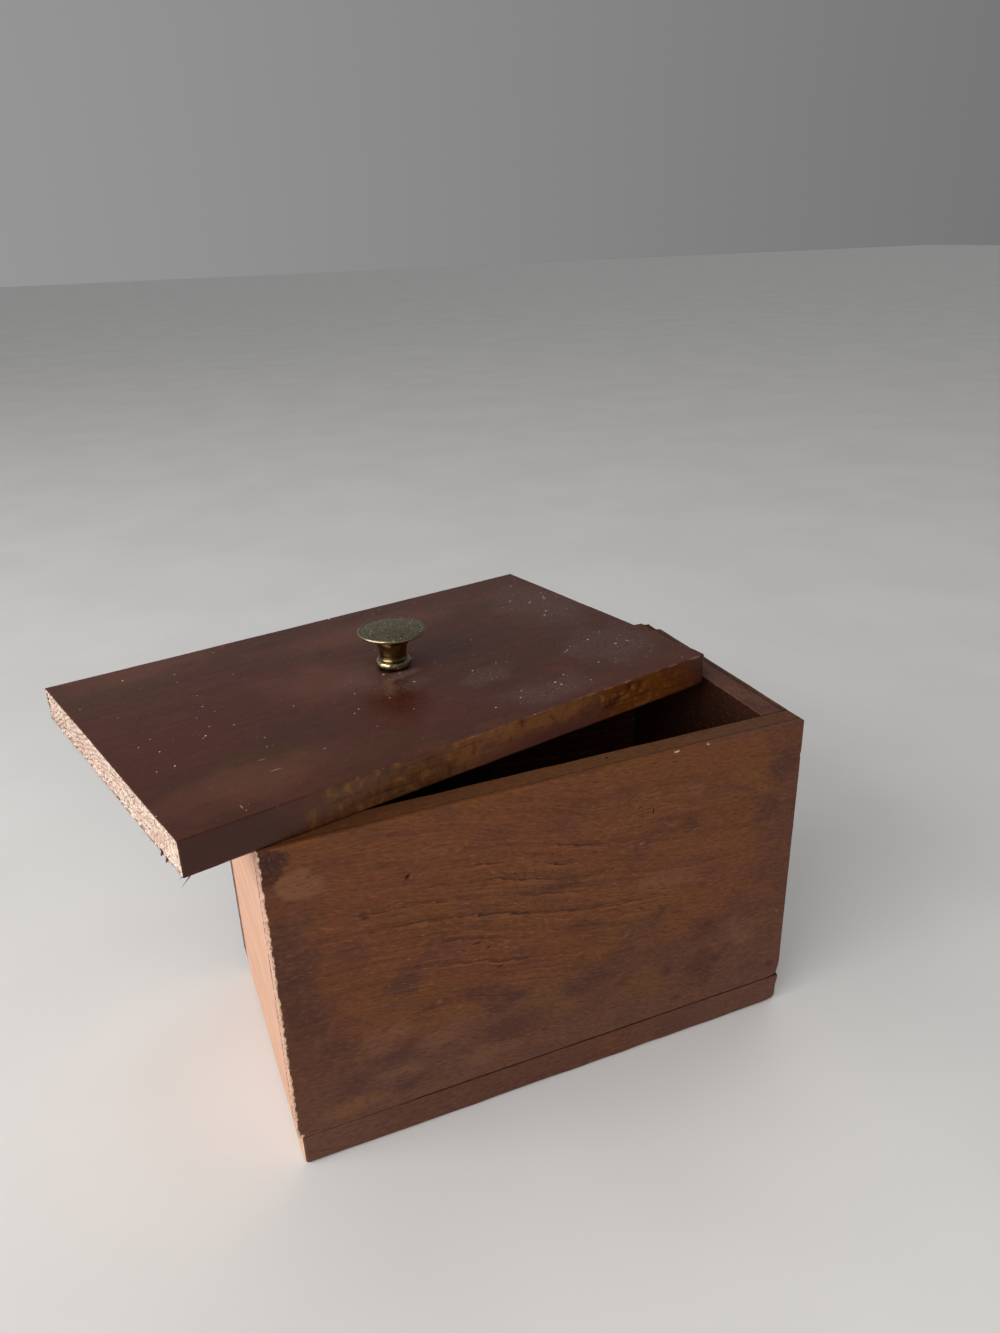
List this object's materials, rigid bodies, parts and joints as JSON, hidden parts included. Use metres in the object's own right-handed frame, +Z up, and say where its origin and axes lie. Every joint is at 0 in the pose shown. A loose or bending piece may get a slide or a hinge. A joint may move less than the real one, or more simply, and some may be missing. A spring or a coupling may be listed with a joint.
{
  "type": "recipe box",
  "caption": "Plain nailed wooden box for upright index cards, open on top, with a loose overhanging lid board askew on its rim and a turned brass knob.",
  "frame": {"origin": "middle of the box's underside, on the surface that the box stands on", "axes": "+X along the front from left to right, +Y from the front to the back, +Z up"},
  "size_m": [0.1985, 0.1341, 0.1244],
  "materials": {
    "stained_wood": "brown stained pine, satin, worn at the edges",
    "bare_wood": "bare sawn pine, matt, pinkish",
    "dark_stained_wood": "dark reddish brown stain and varnish on top, bare rough sawn left end",
    "antique_brass": "aged cast brass, dull and speckled, brighter on its worn edges",
    "nail_steel": "dark steel",
    "screw_steel": "dull zinc plated steel"
  },
  "bodies": {
    "box": {"front_panel": "stained_wood", "back_panel": "stained_wood", "left_side": "bare_wood", "right_side": "stained_wood", "bottom_board": "stained_wood", "front_nails": "nail_steel", "back_nails": "nail_steel", "bottom_nails": "nail_steel"},
    "knob": {"knob": "antique_brass"},
    "lid": {"lid_board": "dark_stained_wood", "knob_screw": "screw_steel"}
  },
  "joints": [
    {"name": "lid_lift", "type": "slide", "parent": "box", "child": "knob", "axis": [0, 0, 1], "range_m": [0, 0.1]},
    {"name": "lid_turn", "type": "hinge", "parent": "knob", "child": "lid", "pos_m": [-0.0227, 0.0237, 0.1114], "axis": [0, 0, 1], "continuous": true}
  ]
}
